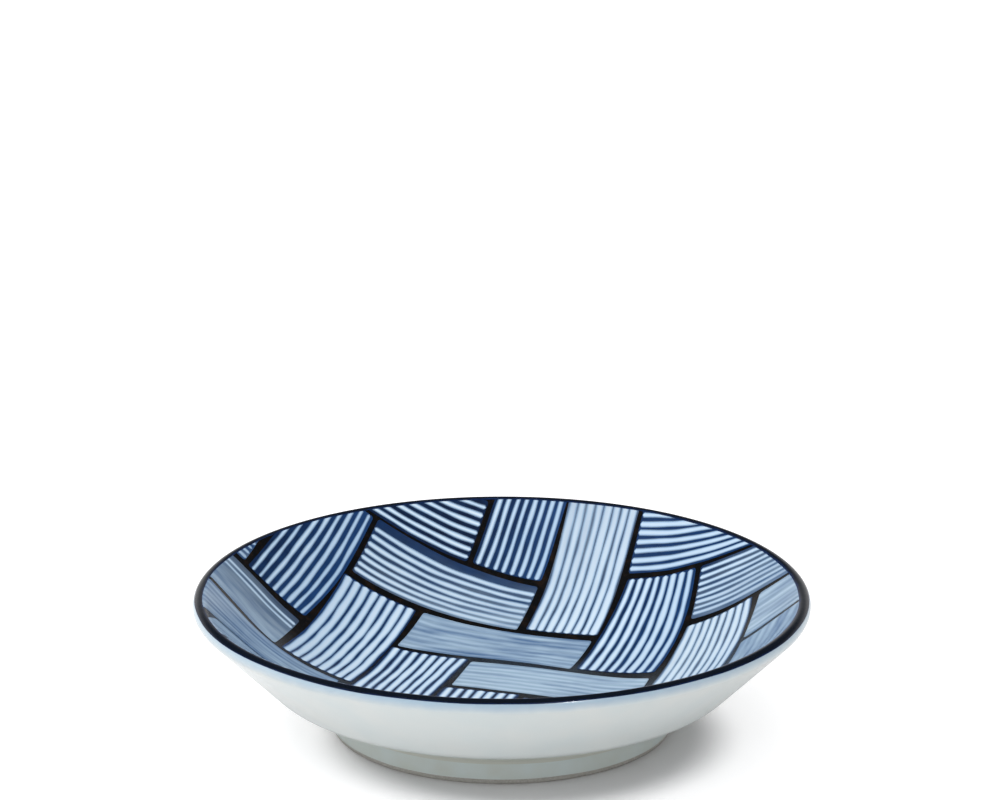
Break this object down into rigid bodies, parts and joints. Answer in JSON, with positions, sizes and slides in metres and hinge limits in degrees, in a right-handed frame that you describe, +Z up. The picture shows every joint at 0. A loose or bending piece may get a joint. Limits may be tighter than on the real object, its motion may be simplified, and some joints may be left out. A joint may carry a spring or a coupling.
{
  "type": "soy sauce dish",
  "caption": "Shallow round soy sauce dish of glazed porcelain on a turned foot ring, with a dark lip and a painted basket weave inside.",
  "frame": {"origin": "middle of the foot's resting face, on the table", "axes": "+Z up along the dish's axis; the weave is turned 16.5 degrees clockwise from +X seen from above, and the picture looks along +Y"},
  "size_m": [0.1, 0.1, 0.0224],
  "materials": {
    "porcelain": "fired white porcelain, all of it under the coats",
    "bare_foot": "bare fired clay, fine grained and matt, wiped free of glaze",
    "pale_glaze": "pale blue-grey celadon glaze, glossy",
    "foot_glaze": "the same glaze where it gathers thick and grey-green on the foot",
    "base_glaze": "pale glaze in the recess of the foot, glossy",
    "gap_paint": "near-black painted gaps with brown flecks, under clear glaze",
    "strand_paint_up": "white strokes on navy cobalt, under clear glaze",
    "strand_paint_across": "grey-blue cobalt wash with paler strokes, under clear glaze",
    "rim_paint": "blue-black painted line over the lip, under clear glaze"
  },
  "bodies": {
    "root": {"bowl_body": "porcelain", "foot_ring": "bare_foot", "outside_glaze": "pale_glaze", "foot_glaze": "foot_glaze", "base_glaze": "base_glaze", "painted_gaps": "gap_paint", "strands_up": "strand_paint_up", "strands_across": "strand_paint_across", "rim_line": "rim_paint"}
  },
  "joints": []
}
